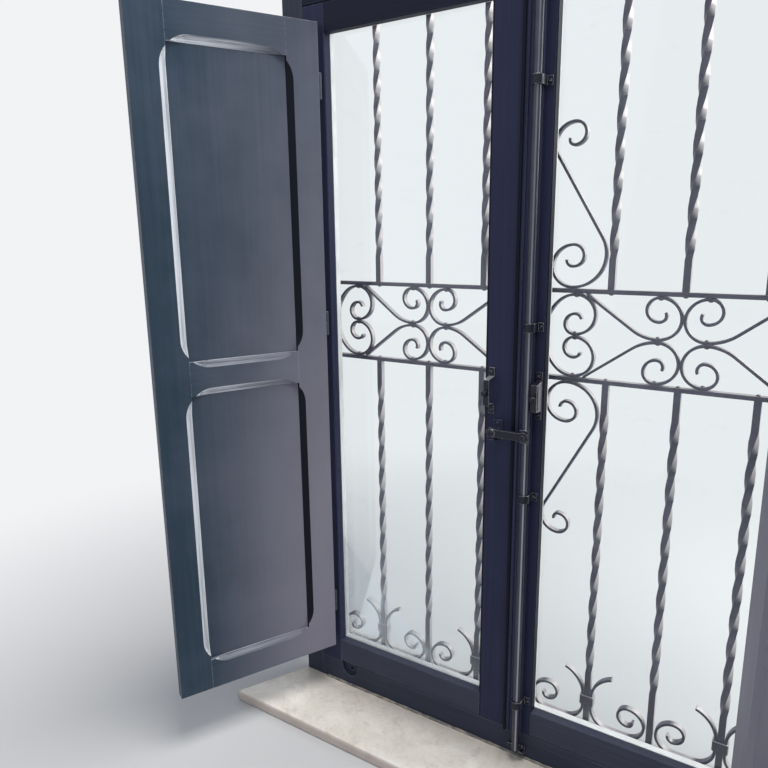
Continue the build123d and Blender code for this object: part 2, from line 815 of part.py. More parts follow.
# Shutter catches: a bridge on the meeting stile and a tongue that turns over the closed shutter


def catch_bracket(x):
    half = catch_length / 2
    bridge = catch_bridge / 2
    with BuildPart() as part:
        with BuildSketch(Plane.YZ.offset(x - catch_strap / 2)):
            outline(
                (0, catch_z - half),
                (-catch_metal, catch_z - half),
                (-catch_metal, catch_z - bridge - catch_slope),
                (-catch_height, catch_z - bridge),
                (-catch_height, catch_z + bridge),
                (-catch_metal, catch_z + bridge + catch_slope),
                (-catch_metal, catch_z + half),
                (0, catch_z + half),
                (0, catch_z + bridge + catch_slope - catch_metal),
                (-catch_height + catch_metal, catch_z + bridge - catch_metal),
                (-catch_height + catch_metal, catch_z - bridge + catch_metal),
                (0, catch_z - bridge - catch_slope + catch_metal),
            )
        extrude(amount=catch_strap)
        with Locations((x, -catch_height, catch_z)):
            Cylinder(spindle_r + running_gap, 4 * catch_metal, rotation=(90, 0, 0), mode=Mode.SUBTRACT)
    return part.part


def catch_tongue(x):
    tongue_front = -catch_height + catch_metal + tongue_gap
    with BuildPart() as part:
        with BuildSketch(Plane.XZ.offset(-tongue_front)):
            with Locations((x, catch_z)):
                Circle(tongue_width / 2)
            with Locations((x, catch_z - tongue_reach / 2)):
                Rectangle(tongue_width, tongue_reach)
        extrude(amount=-tongue_thickness)
        neck = catch_height + lever_gap
        with BuildSketch(Plane.XZ.offset(-tongue_front)):
            with Locations((x, catch_z)):
                Circle(spindle_r)
        extrude(amount=neck + tongue_front)
        with BuildSketch(Plane(origin=(x, -neck, catch_z), x_dir=(1, 0, 0), z_dir=(0, 0, 1))):
            with BuildLine():
                shoulder = (knob_r, knob_r - knob_length)
                Polyline((0, 0), (spindle_r + arris, 0), (spindle_r, -knob_neck), shoulder)
                JernArc(shoulder, (0, -1), knob_r, -90)
                Line((0, -knob_length), (0, 0))
            make_face()
        revolve(axis=Axis((x, 0, catch_z), (0, 1, 0)))
    return part.part


finish(catch_bracket(left_catch_x), "left_catch_bracket")
finish(catch_bracket(right_catch_x), "right_catch_bracket")
finish(catch_tongue(left_catch_x), "left_catch_tongue")
finish(catch_tongue(right_catch_x), "right_catch_tongue")

# Grille

grille_low = grille_y - rail_depth / 2
inner_rail = post_x - bar_size / 2

with BuildPart() as grille_rails:
    for low in (grille_bottom, band_bottom - rail_thickness, band_top, grille_top - rail_thickness):
        box_between(
            (-inner_rail, grille_low, low),
            (inner_rail, grille_low + rail_depth, low + rail_thickness),
        )
finish(grille_rails.part, "grille_rails")

with BuildPart() as grille_posts:
    for side in (-1, 1):
        box_between(
            (side * post_x - bar_size / 2, grille_y - bar_size / 2, grille_bottom),
            (side * post_x + bar_size / 2, grille_y + bar_size / 2, grille_top),
        )
        arm_x = side * (frame_outer + arm_thickness / 2)
        for level in (grille_bottom + arm_width, band_bottom + band_height / 2, grille_top - arm_width):
            box_between(
                (arm_x - arm_thickness / 2, arm_back, level - arm_width / 2),
                (arm_x + arm_thickness / 2, grille_y, level + arm_width / 2),
            )
finish(grille_posts.part, "grille_posts")


def twisted_bar(low, high, plain_low):
    """Square bar, plain at both ends and twisted between them."""
    twisted = high - low - plain_low - plain_end
    quarters = max(1, round(twisted / twist_quarter))
    steps = twist_steps * quarters
    sections = [(low, 0.0)]
    for step in range(steps + 1):
        sections.append((low + plain_low + twisted * step / steps, 90.0 * quarters * step / steps))
    sections.append((high, 90.0 * quarters))
    squares = []
    for level, turn in sections:
        with BuildSketch(Plane.XY.offset(level).rotated((0, 0, turn))) as square:
            Rectangle(bar_size, bar_size)
        squares.append(square.sketch)
    with BuildPart() as part:
        loft(squares, ruled=True)
    return part.part


bar_places = [(step * grille_spacing, grille_y) for step in range(-3, 4)]

with BuildPart() as twisted_bars_lower:
    lower_bar = twisted_bar(grille_bottom + rail_thickness, band_bottom - rail_thickness, foot_plain)
    with Locations(*bar_places):
        add(lower_bar)
finish(twisted_bars_lower.part, "twisted_bars_lower")

with BuildPart() as twisted_bars_upper:
    upper_bar = twisted_bar(band_top + rail_thickness, grille_top - rail_thickness, plain_end)
    with Locations(*bar_places):
        add(upper_bar)
finish(twisted_bars_upper.part, "twisted_bars_upper")

with BuildPart() as grille_collars:
    for x, _ in bar_places[::2]:
        clasp = bar_size + 2 * scroll_thickness + 2 * weld_gap
        with BuildSketch(Plane.XY.offset(collar_level - collar_height / 2)):
            with Locations((x, grille_y)):
                RectangleRounded(clasp + 2 * collar_wall, scroll_depth + 2 * collar_wall, collar_wall)
                Rectangle(clasp, scroll_depth, mode=Mode.SUBTRACT)
        extrude(amount=collar_height)
finish(grille_collars.part, "grille_collars")


# Scrolls: flat bar bent on edge, drawn as centre lines in the grille's plane

def scroll_plane(x, level, flip_x, flip_z):
    """Plane of one scroll: local x and y are turned over where a scroll is a mirror image."""
    turned = flip_x * flip_z
    return Plane(
        origin=(x, grille_y + turned * scroll_depth / 2, level),
        x_dir=(flip_x, 0, 0),
        z_dir=(0, -turned, 0),
    )


def curl(start, heading, arcs):
    """Chain tangent arcs, each a radius and a signed angle, from a start point and a direction."""
    bend = JernArc(start, heading, *arcs[0])
    for radius, angle in arcs[1:]:
        bend = JernArc(bend @ 1, bend % 1, radius, angle)
    return bend


def spiral(radius, eye, first_angle=180):
    """Arcs of a scroll's end, each tighter than the one before."""
    return ((radius, first_angle), (eye[0] * radius, 180), (eye[1] * radius, eye[2]))


def clockwise(arcs):
    return [(radius, -angle) for radius, angle in arcs]


half_bar = scroll_thickness / 2
seat = half_bar + weld_gap / 2  # centre line of a bar that lies on a face
band_half = band_height / 2
crown = band_half - seat
curl_r = (crown - seat) / 2


def hook_scroll(wall, flip_x, flip_z, x):
    """From the rail beside a C scroll down to the middle line, then curled up against its twin."""
    start = Vector(wall + hook_start_share * curl_r, crown)
    bend_r = hook_bend * curl_r
    centre = Vector(2 * grille_spacing - seat - curl_r, seat + bend_r)
    to_centre = centre - start
    slope = degrees(asin(bend_r / to_centre.length) - atan(to_centre.Y / to_centre.X))
    touch = centre - Vector(bend_r * sin(radians(slope)), bend_r * cos(radians(slope)))
    with BuildSketch(scroll_plane(x, band_bottom + band_half, flip_x, flip_z)) as bar:
        with BuildLine():
            run = Line(start, touch)
            bend = JernArc(run @ 1, run % 1, bend_r, slope)
            curl(bend @ 1, (1, 0), spiral(curl_r, scroll_eye))
        trace(line_width=scroll_thickness)
    extrude(bar.sketch, amount=scroll_depth)


def c_scroll(x, wall, flip_x):
    """Back against a bar's axis or a post, both ends curled inwards."""
    back_r = c_back * crown
    shoulder_r = (crown - back_r * sin(radians(45))) / (1 - cos(radians(45)))
    mirrored = ((back_r, 45), (shoulder_r, 45), *spiral(curl_r, c_eye))
    with BuildSketch(scroll_plane(x, band_bottom + band_half, flip_x, 1)) as bar:
        with BuildLine():
            curl((wall + seat, 0), (0, 1), clockwise(mirrored))
            curl((wall + seat, 0), (0, -1), mirrored)
        trace(line_width=scroll_thickness)
    extrude(bar.sketch, amount=scroll_depth)


with BuildPart() as band_scrolls:
    for flip_x in (-1, 1):
        post_face = bar_size / 2
        c_scroll(0, 0, flip_x)
        c_scroll(flip_x * post_x, post_face, -flip_x)
        for flip_z in (-1, 1):
            hook_scroll(0, flip_x, flip_z, 0)
            hook_scroll(post_face, -flip_x, flip_z, flip_x * post_x)
finish(band_scrolls.part, "band_scrolls")


def lyre_scroll(level, flip_x, flip_z, lean_angle, straight):
    """Stands on the band: a large curl at its foot, leaning in to a small curl against the bar."""
    lean_x = cos(radians(lean_angle))
    lean_y = sin(radians(lean_angle))
    curl_side = bar_size / sqrt(2) + half_bar + weld_gap
    foot_x = curl_side + lyre_head_r * (1 - lean_y) - straight * lean_x - lyre_belly_r * lean_y
    with BuildSketch(scroll_plane(0, level, flip_x, flip_z)) as bar:
        with BuildLine():
            curl((foot_x, seat), (-1, 0), clockwise(spiral(lyre_foot_r, lyre_foot_eye)))
            belly = JernArc((foot_x, seat), (1, 0), lyre_belly_r, lean_angle)
            lean = Line(belly @ 1, belly @ 1 + (belly % 1) * straight)
            curl(lean @ 1, lean % 1, clockwise(spiral(lyre_head_r, lyre_head_eye, lean_angle)))
        trace(line_width=scroll_thickness)
    extrude(bar.sketch, amount=scroll_depth)


with BuildPart() as lyre_scrolls:
    for flip_x in (-1, 1):
        lyre_scroll(band_top + rail_thickness, flip_x, 1, lyre_above_angle, lyre_above_run)
        lyre_scroll(band_bottom - rail_thickness, flip_x, -1, lyre_below_angle, lyre_below_run)
finish(lyre_scrolls.part, "lyre_scrolls")


def foot_scroll(x, flip_x):
    """Clasped to a bar by its collar, with a spiral on the rail and a tip that leans away above."""
    upright = bar_size / 2 + seat
    bend_top = seat + foot_bend_r
    run = grille_spacing - foot_spiral_gap - foot_spiral_r - foot_bend_r - upright
    with BuildSketch(scroll_plane(x, grille_bottom + rail_thickness, flip_x, 1)) as bar:
        with BuildLine():
            stem = Line((upright, bend_top + foot_stem), (upright, bend_top))
            bend = JernArc(stem @ 1, (0, -1), foot_bend_r, 90)
            flat = Line(bend @ 1, bend @ 1 + Vector(run, 0))
            curl(flat @ 1, (1, 0), spiral(foot_spiral_r, foot_eye))
            JernArc(stem @ 0, (0, 1), foot_tip_r, -foot_tip_angle)
        trace(line_width=scroll_thickness)
    extrude(bar.sketch, amount=scroll_depth)


with BuildPart() as foot_scrolls:
    for x, _ in bar_places[::2]:
        for flip_x in (-1, 1):
            foot_scroll(x, flip_x)
finish(foot_scrolls.part, "foot_scrolls")
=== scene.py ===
import bpy
import bmesh
from math import cos, pi, radians, sin
from mathutils import Matrix, Vector


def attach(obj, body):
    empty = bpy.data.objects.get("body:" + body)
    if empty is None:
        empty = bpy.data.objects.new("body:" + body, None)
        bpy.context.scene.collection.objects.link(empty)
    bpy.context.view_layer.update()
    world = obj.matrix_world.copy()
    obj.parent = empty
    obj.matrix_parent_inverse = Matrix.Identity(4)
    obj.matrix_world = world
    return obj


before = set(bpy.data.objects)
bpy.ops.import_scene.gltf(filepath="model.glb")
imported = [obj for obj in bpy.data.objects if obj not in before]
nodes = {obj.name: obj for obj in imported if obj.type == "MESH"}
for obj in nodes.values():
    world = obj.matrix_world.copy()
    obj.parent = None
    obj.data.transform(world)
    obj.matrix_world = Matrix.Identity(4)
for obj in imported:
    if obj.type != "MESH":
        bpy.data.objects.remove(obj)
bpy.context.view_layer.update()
bpy.ops.object.select_all(action="DESELECT")
print("frame loaded:", len(nodes), "parts")


camera = {
    "place": (0.4598, -1.1321, 1.0520),
    "turnLeft": 33.12,  # degrees off straight out of the window
    "lookDown": 12.56,
    "roll": -0.71,
    "lens": 32.06,
    "sensor": 36,
    "nearest": 0.02,
}


def addCamera():
    turn, down, roll = (radians(camera[k]) for k in ("turnLeft", "lookDown", "roll"))
    ahead = Vector((-sin(turn) * cos(down), cos(turn) * cos(down), -sin(down)))
    right = ahead.cross(Vector((0, 0, 1))).normalized()
    up = right.cross(ahead)
    level = right * cos(roll) + up * sin(roll)
    top = up * cos(roll) - right * sin(roll)
    bpy.ops.object.camera_add()
    cam = bpy.context.object
    cam.name = "photoCamera"
    cam.matrix_world = Matrix((
        (level.x, top.x, -ahead.x, camera["place"][0]),
        (level.y, top.y, -ahead.y, camera["place"][1]),
        (level.z, top.z, -ahead.z, camera["place"][2]),
        (0, 0, 0, 1),
    ))
    cam.data.sensor_width = camera["sensor"]
    cam.data.lens = camera["lens"]
    cam.data.clip_start = camera["nearest"]
    bpy.context.scene.camera = cam


addCamera()
print("camera set")


class Value:  # one socket of a material; arithmetic on it adds Math nodes
    def __init__(self, paint, socket):
        self.paint = paint
        self.socket = socket

    def math(self, operation, *others):
        terms = dict(enumerate([self, *others]))
        return self.paint.node("ShaderNodeMath", {"operation": operation}, terms)

    def __add__(self, other): return self.math("ADD", other)
    def __radd__(self, other): return self.math("ADD", other)
    def __sub__(self, other): return self.math("SUBTRACT", other)
    def __rsub__(self, other): return self.flip("SUBTRACT", other)
    def __mul__(self, other): return self.math("MULTIPLY", other)
    def __rmul__(self, other): return self.math("MULTIPLY", other)
    def __pow__(self, other): return self.math("POWER", other)
    def __gt__(self, other): return self.math("GREATER_THAN", other)
    def __lt__(self, other): return self.math("LESS_THAN", other)
    def __abs__(self): return self.math("ABSOLUTE")

    def flip(self, operation, other):
        return self.paint.node("ShaderNodeMath", {"operation": operation}, {0: other, 1: self})

    def smooth(self, low, high):
        return self.paint.node(
            "ShaderNodeMapRange",
            {"interpolation_type": "SMOOTHSTEP"},
            {"Value": self, "From Min": low, "From Max": high},
        )


class Paint:  # the nodes of one material, or of the world
    def __init__(self, name, owners=bpy.data.materials):
        self.material = owners.new(name)
        self.material.use_nodes = True
        self.tree = self.material.node_tree
        self.tree.nodes.clear()

    def node(self, kind, settings=None, sockets=None, out=0):
        made = self.tree.nodes.new(kind)
        for key, setting in (settings or {}).items():
            setattr(made, key, setting)
        for key, given in (sockets or {}).items():
            if isinstance(given, Value):
                self.tree.links.new(given.socket, made.inputs[key])
            elif given is not None:
                made.inputs[key].default_value = given
        return Value(self, made.outputs[out]) if made.outputs else None

    # object coordinates, turned about an upright line and stretched
    def place(self, stretch=(1, 1, 1), centre=(0, 0, 0), turn=0.0):
        here = self.node("ShaderNodeTexCoord", out="Object")
        local = self.node(
            "ShaderNodeMapping",
            {"vector_type": "TEXTURE"},
            {"Vector": here, "Location": centre, "Rotation": (0, 0, radians(turn))},
        )
        if stretch == (1, 1, 1):
            return local
        stretched = {"Vector": local, "Scale": stretch}
        return self.node("ShaderNodeMapping", {"vector_type": "POINT"}, stretched)

    def noise(self, where, scale, detail=3.0, rough=0.55, twist=0.0):
        return self.node("ShaderNodeTexNoise", {"noise_dimensions": "3D"}, {
            "Vector": where,
            "Scale": scale,
            "Detail": detail,
            "Roughness": rough,
            "Distortion": twist,
        })

    def parts(self, vector):
        split = self.tree.nodes.new("ShaderNodeSeparateXYZ")
        self.tree.links.new(vector.socket, split.inputs[0])
        return [Value(self, split.outputs[k]) for k in range(3)]

    def blend(self, share, first, second):
        return self.node(
            "ShaderNodeMix",
            {"data_type": "RGBA"},
            {0: share, 6: asColour(first), 7: asColour(second)},
            out=2,
        )

    def dot(self, first, second):
        given = {0: first, 1: second}
        return self.node("ShaderNodeVectorMath", {"operation": "DOT_PRODUCT"}, given, "Value")

    # how far each face looks the given way
    def facing(self, way):
        return self.dot(self.node("ShaderNodeTexCoord", out="Normal"), way)

    # a rounded normal, and a mask that is 1 on the edges
    def edges(self, reach, sharp=0.12):
        soft = self.node("ShaderNodeBevel", {"samples": 6}, {"Radius": reach})
        hard = self.node("ShaderNodeNewGeometry", out="Normal")
        return soft, (1 - self.dot(soft, hard)).smooth(0.0, sharp)

    # 1 where the camera looks, and in what it sees through glass or mirrored
    def looked(self):
        kinds = ("Camera", "Transmission", "Glossy")
        seen, *more = [self.node("ShaderNodeLightPath", out="Is " + k + " Ray") for k in kinds]
        for ray in more:
            seen = seen.math("MAXIMUM", ray)
        return seen

    def bump(self, height, distance, strength=1.0, normal=None):
        return self.node(
            "ShaderNodeBump",
            None,
            {"Height": height, "Distance": distance, "Strength": strength, "Normal": normal},
        )

    def finish(self, **sockets):
        given = {key.replace("_", " "): value for key, value in sockets.items()}
        given["Base Color"] = asColour(given["Base Color"])
        surface = self.node("ShaderNodeBsdfPrincipled", None, given)
        self.node("ShaderNodeOutputMaterial", None, {"Surface": surface})
        return self.material


def asColour(given):
    return (*given, 1.0) if isinstance(given, tuple) and len(given) == 3 else given


def putOn(material, *names):  # on CAD parts and new pieces alike
    for name in names:
        piece = nodes.get(name) or bpy.data.objects[name]
        if not piece.material_slots:
            piece.data.materials.append(material)
        for slot in piece.material_slots:
            slot.material = material


timber = {
    "brush": {"wide": 150, "long": 3},  # marks per metre across the grain and along it
    "hair": {"wide": 900, "long": 14},
    "edgeReach": 0.0016,
    "strokeDepth": 0.0005,
    "gloss": 0.32,
    # colour of the painted shade beside the gaps
    "gapShade": (0.0020, 0.0025, 0.0075),
    # colours of the painted shade and the painted highlight on the shutter bevels
    "shaded": (0.003, 0.004, 0.010),
    "paintedLight": (0.80, 0.83, 0.89),
}


def paintedTimber(name, coat, grain="z", centre=(0, 0, 0), turn=0.0, paintedLight=None, gapShade=None):
    # brushed paint on a board whose grain runs along z or along its own x
    paint = Paint(name)

    def alongGrain(marks):
        wide, long = marks["wide"], marks["long"]
        stretch = (wide, wide, long) if grain == "z" else (long, wide, wide)
        return paint.place(stretch, centre, turn)

    strokes = paint.noise(alongGrain(timber["brush"]), 1.0, 3.0, 0.6, 0.15)
    hairs = paint.noise(alongGrain(timber["hair"]), 1.0, 2.0)
    local = paint.place((1, 1, 1), centre, turn)
    clouds = paint.noise(local, 4.5, 4.0, 0.6)
    specks = paint.noise(local, 260.0, 3.0, 0.7)
    soft, edge = paint.edges(timber["edgeReach"])
    share = strokes.smooth(0.3, 0.75) * 0.45 + clouds.smooth(0.3, 0.7) * 0.4
    share = share + hairs.smooth(0.35, 0.8) * 0.15
    colour = paint.blend(share, coat["base"], coat["pale"])
    x, _, z = paint.parts(local)
    if "litHingeSide" in coat:  # painted light: paler and greyer towards the hinged side and the foot
        across = 1 - x.smooth(-0.02, 0.36)
        low = 1 - z.smooth(0.3, 1.4)
        drift = across * (low * 0.72 + 0.36) + (clouds - 0.5) * 0.4
        colour = paint.blend(drift.math("MINIMUM", 1.0), colour, coat["litHingeSide"])
    worn = edge * (strokes * 0.6 + specks * 0.8).smooth(0.5, 0.82)
    colour = paint.blend(worn * 0.85, colour, coat["wear"])
    chips = specks.smooth(0.735, 0.76) * clouds.smooth(0.55, 0.62)
    colour = paint.blend(chips * 0.6, colour, coat["wear"])
    if gapShade:  # painted shade beside the gap: from the first x on it grows, and beyond the second it is full
        colour = paint.blend(x.smooth(*gapShade) * 0.88, colour, timber["gapShade"])
    # painted highlight and painted shade on the bevels
    if paintedLight:
        bright, dim = paintedLight(paint, local, strokes, hairs, edge)
        colour = paint.blend(dim, colour, timber["shaded"])
        colour = paint.blend(bright, colour, timber["paintedLight"])
    height = strokes * 0.7 + hairs * 0.3
    return paint.finish(
        Base_Color=colour,
        Roughness=share * 0.22 + timber["gloss"] + specks * 0.06,
        Normal=paint.bump(height, timber["strokeDepth"], 0.35, soft),
        Specular_IOR_Level=coat["shine"],
    )


coats = {
    "slate": {
        "base": (0.021, 0.039, 0.059),
        "pale": (0.038, 0.060, 0.092),
        # painted light towards the shutters' hinged side and foot
        "litHingeSide": (0.200, 0.192, 0.238),
        "wear": (0.28, 0.31, 0.36),
        "shine": 0.12,
    },
    "navy": {
        "base": (0.0170, 0.0195, 0.0460),
        "pale": (0.0285, 0.0310, 0.0690),
        "wear": (0.13, 0.14, 0.19),
        "shine": 0.10,
    },
    # painted shade: the navy made darker for the window head and the leaves' top rails
    "head": {
        "base": (0.0085, 0.0100, 0.0210),
        "pale": (0.0150, 0.0175, 0.0330),
        "wear": (0.12, 0.13, 0.18),
        "shine": 0.08,
    },
    # painted light: the navy made lighter for the leaves' bottom rails
    "foot": {
        "base": (0.0300, 0.0330, 0.0560),
        "pale": (0.0500, 0.0550, 0.0860),
        "wear": (0.18, 0.19, 0.23),
        "shine": 0.14,
    },
    "mist": {
        "base": (0.0200, 0.0240, 0.0420),
        "pale": (0.0400, 0.0470, 0.0720),
        "wear": (0.18, 0.19, 0.23),
        "shine": 0.14,
    },
}

shutter = {
    "pin": 0.41345,
    "pinDepth": -0.009,
    "open": {"left": -115.7, "right": -68.0},  # turn of each shutter's own x
    "panels": {"x": (0.0712, 0.2932), "z": (0.16, 1.40)},  # x from the pin
    "margin": 0.03,
}


def bevelPaintedLight(paint, local, strokes, hairs, edge):  # painted highlight on the far and the upper bevels, where light would catch them, and painted shade on the near bevel
    x, _, z = paint.parts(local)
    ownNormal = paint.node(
        "ShaderNodeVectorRotate",
        {"rotation_type": "Z_AXIS"},
        {
            "Vector": paint.node("ShaderNodeTexCoord", out="Normal"),
            "Angle": radians(-shutter["open"]["left"]),
        },
    )
    alongX, _, alongZ = paint.parts(ownNormal)
    farSide, nearSide = (alongX * -1).smooth(0.2, 0.4), alongX.smooth(0.2, 0.4)
    underTop, overBottom = (alongZ * -1).smooth(0.2, 0.4), alongZ.smooth(0.2, 0.4)
    near, far = shutter["panels"]["x"]
    low, high = shutter["panels"]["z"]
    inside = (x > near - shutter["margin"]) * (x < far + shutter["margin"])
    inside = inside * (z < high) * (z > low)
    streaks = (strokes * 0.7 + hairs * 0.5).smooth(0.42, 0.74)
    fade = x.smooth(0.06, 0.24)
    share = farSide * (streaks * 0.5 + 0.35) + underTop * fade * (streaks * 0.75 + 0.12)
    share = share + overBottom * fade * streaks * 0.28
    lines = (farSide + underTop * fade + overBottom * fade * 0.5) * edge * 0.6
    return ((share + lines) * inside).math("MINIMUM", 1.0), nearSide * inside


def paintShutters():
    uprights = ("hinge_stile", "free_stile", "upper_panel", "lower_panel")
    rails = ("top_rail", "middle_rail", "bottom_rail")
    # the left shutter gets painted highlight and painted shade on its bevels
    for side, sign, rub in (("left", -1, bevelPaintedLight), ("right", 1, None)):
        centre = (sign * shutter["pin"], shutter["pinDepth"], 0)
        turn = shutter["open"][side]
        for name, grain, parts in (("Upright", "z", uprights), ("Across", "x", rails)):
            coat = paintedTimber(side + "Shutter" + name, coats["slate"], grain, centre, turn, rub)
            putOn(coat, *[side + "_shutter_" + part for part in parts])


gapShadeStrips = {  # x where the painted shade beside a gap begins, and x from where on it is full
    "astragal": (0.0092, 0.0080),
    "left_leaf_meeting_stile": (-0.0515, -0.0532),
    "right_leaf_meeting_stile": (0.0540, 0.0556),
}


def paintWindow():
    upright = paintedTimber("leafUpright", coats["navy"])
    # painted light on the bottom rails, painted shade on the head and the top rails
    low = paintedTimber("leafFootLit", coats["foot"], "x")
    high = paintedTimber("windowHeadShaded", coats["head"], "x")
    putOn(paintedTimber("frameUpright", coats["mist"]), "frame_jamb_left", "frame_jamb_right")
    putOn(paintedTimber("frameAcross", coats["mist"], "x"), "frame_bottom_rail")
    putOn(high, "frame_head")
    for side in ("left", "right"):
        putOn(upright, side + "_leaf_outer_stile")
        putOn(high, side + "_leaf_top_rail")
        putOn(low, side + "_leaf_bottom_rail")
    for name, strip in gapShadeStrips.items():
        putOn(paintedTimber(name + "Paint", coats["navy"], gapShade=strip), name)


# each sheenFlank paints a highlight as bare steel on the faces that look its way
steels = {
    "boltSteel": {
        "paint": (0.0045, 0.0055, 0.0130),
        "bareAndSheen": (0.46, 0.46, 0.52),
        "rub": 0.28,
        "roughness": 0.40,
        "shine": 0.28,
    },
    "rodSteel": {
        "paint": (0.014, 0.016, 0.030),
        "bareAndSheen": (0.34, 0.34, 0.39),
        "rub": 0.30,
        "roughness": 0.34,
        "shine": 0.5,
        "sheenFlank": {"way": (0.45, -0.89, 0.0), "reach": (0.955, 0.995), "fade": 0.6},
    },
    "rightCatchSteel": {
        "paint": (0.005, 0.006, 0.013),
        "bareAndSheen": (0.36, 0.33, 0.36),
        "rub": 0.32,
        "roughness": 0.40,
        "shine": 0.3,
        "sheenFlank": {"way": (1.0, 0.0, 0.0), "reach": (0.75, 0.95), "fade": 0},
    },
    "leftCatchSteel": {
        "paint": (0.005, 0.006, 0.013),
        "bareAndSheen": (0.62, 0.62, 0.68),
        "rub": 0.30,
        "roughness": 0.38,
        "shine": 0.3,
        "sheenFlank": {"way": (0.0, 0.0, 1.0), "reach": (0.55, 0.9), "fade": 0},
    },
    "paintedOverSteel": {
        "paint": (0.0115, 0.0150, 0.0350),
        "bareAndSheen": (0.20, 0.21, 0.26),
        "rub": 0.14,
        "roughness": 0.5,
        "shine": 0.2,
    },
    "hingeMetal": {
        "paint": (0.026, 0.029, 0.042),
        "bareAndSheen": (0.22, 0.23, 0.26),
        "rub": 0.30,
        "roughness": 0.5,
        "shine": 0.5,
    },
}


def rubbedSteelWithSheen(name):  # worn at the edges, and a painted highlight as bare steel along the flank that looks the given way
    steel = steels[name]
    paint = Paint(name)
    local = paint.place()
    grime = paint.noise(local, 35.0, 4.0, 0.6)
    grain = paint.noise(local, 420.0, 3.0, 0.65)
    soft, edge = paint.edges(0.0008)
    bareAndSheen = edge * 0.9 + grime * 0.55 + grain * 0.3
    bareAndSheen = bareAndSheen.smooth(0.95 - steel["rub"], 1.2 - steel["rub"])
    if "sheenFlank" in steel:
        sheenFlank = steel["sheenFlank"]
        streaks = paint.noise(paint.place((300, 300, 6)), 1.0, 3.0, 0.6)
        # the painted highlight fades towards the top
        sheenFade = 1 - paint.parts(local)[2].smooth(0.3, 1.3) * sheenFlank["fade"]
        paintedSheen = paint.facing(sheenFlank["way"]).smooth(*sheenFlank["reach"]) * (streaks * 0.5 + 0.55)
        bareAndSheen = bareAndSheen.math("MAXIMUM", paintedSheen * sheenFade).math("MINIMUM", 1.0)
    cloudy = tuple(c * 1.7 for c in steel["paint"])
    colour = paint.blend(grime.smooth(0.3, 0.7), steel["paint"], cloudy)
    return paint.finish(
        Base_Color=paint.blend(bareAndSheen, colour, steel["bareAndSheen"]),
        Metallic=bareAndSheen * 0.85,
        Roughness=steel["roughness"] - bareAndSheen * 0.12 + grime * 0.1,
        Normal=paint.bump(grain * 0.4 + grime * 0.6, 0.0004, 0.3, soft),
        Specular_IOR_Level=steel["shine"],
    )


def paintIronwork():
    made = {name: rubbedSteelWithSheen(name) for name in steels}
    putOn(made["boltSteel"], "rod_hooks", "rod_guides", "rod_keepers", "lever", "lever_pin")
    putOn(made["boltSteel"], "left_catch_tongue", "right_catch_tongue")
    putOn(made["rodSteel"], "espagnolette_rod")
    putOn(made["rightCatchSteel"], "right_catch_bracket")
    putOn(made["leftCatchSteel"], "left_catch_bracket")
    putOn(made["paintedOverSteel"], "lever_rest")
    putOn(made["hingeMetal"], "leaf_hinge_frame_halves")
    for side in ("left", "right"):
        for part in ("_leaf_hinge_halves", "_shutter_pins", "_shutter_hinge_halves"):
            putOn(made["hingeMetal"], side + part)
    return made


def grillePaint():
    paint = Paint("grillePaint")
    local = paint.place()
    patches = paint.noise(local, 14.0, 4.0, 0.6)
    grain = paint.noise(local, 300.0, 3.0, 0.65)
    soft, edge = paint.edges(0.0016, 0.25)
    colour = paint.blend(patches.smooth(0.3, 0.7), (0.062, 0.057, 0.090), (0.105, 0.095, 0.138))
    skyward = paint.facing((0.80, 0.0, 0.60))
    paintedSunlight = skyward.smooth(0.38, 0.62) * (patches * 0.6 + grain * 0.4 + 0.35)  # painted sunlight on the faces that look up and out
    colour = paint.blend(paintedSunlight.math("MINIMUM", 1.0), colour, (0.50, 0.46, 0.46))
    colour = paint.blend(edge * grain.smooth(0.4, 0.7) * 0.5, colour, (0.50, 0.47, 0.49))
    rust = (patches * 0.55 + grain * 0.6).smooth(0.73, 0.82)
    colour = paint.blend(rust * 0.5, colour, (0.12, 0.075, 0.05))
    return paint.finish(
        Base_Color=colour,
        Metallic=0.25,
        Roughness=0.4 + grain * 0.15,
        Normal=paint.bump(grain * 0.5 + patches * 0.5, 0.0005, 0.35, soft),
    )


# where the painted shade on the sill's front edge begins and where it is full
frontShadeBand = {"from": 0.1525, "to": 0.1572}


def marblePaint():
    paint = Paint("creamMarble")
    local = paint.place()
    drift = paint.noise(local, 5.0, 5.0, 0.65, 1.6)
    mottle = paint.noise(local, 38.0, 5.0, 0.7, 0.6)
    veins = abs(paint.noise(local, 7.0, 6.0, 0.7, 2.2) - 0.5)
    grains = paint.noise(local, 420.0, 2.0, 0.6)
    soft, edge = paint.edges(0.003, 0.2)
    colour = paint.blend(drift.smooth(0.3, 0.7), (0.72, 0.67, 0.60), (0.86, 0.82, 0.76))
    colour = paint.blend(mottle.smooth(0.48, 0.72) * 0.32, colour, (0.36, 0.29, 0.22))
    colour = paint.blend((1 - veins.smooth(0.0, 0.035)) * 0.14, colour, (0.36, 0.33, 0.30))
    colour = paint.blend(edge * mottle.smooth(0.4, 0.6) * 0.4, colour, (0.42, 0.36, 0.29))
    y = paint.parts(local)[1]
    dust = y.smooth(-0.075, 0.004) * drift.smooth(0.2, 0.7)  # painted shade and dirt where the frame stands
    colour = paint.blend(dust * 0.6, colour, (0.20, 0.16, 0.13))
    frontEdgeShade = (y * -1).smooth(frontShadeBand["from"], frontShadeBand["to"])  # painted shade on the front edge
    colour = paint.blend(frontEdgeShade * 0.7, colour, (0.26, 0.20, 0.18))
    return paint.finish(
        Base_Color=colour,
        Roughness=mottle * 0.25 + 0.28,
        Normal=paint.bump(mottle * 0.7 + grains * 0.3, 0.0008, 0.3, soft),
        Coat_Weight=0.1,
        Coat_Roughness=0.2,
    )


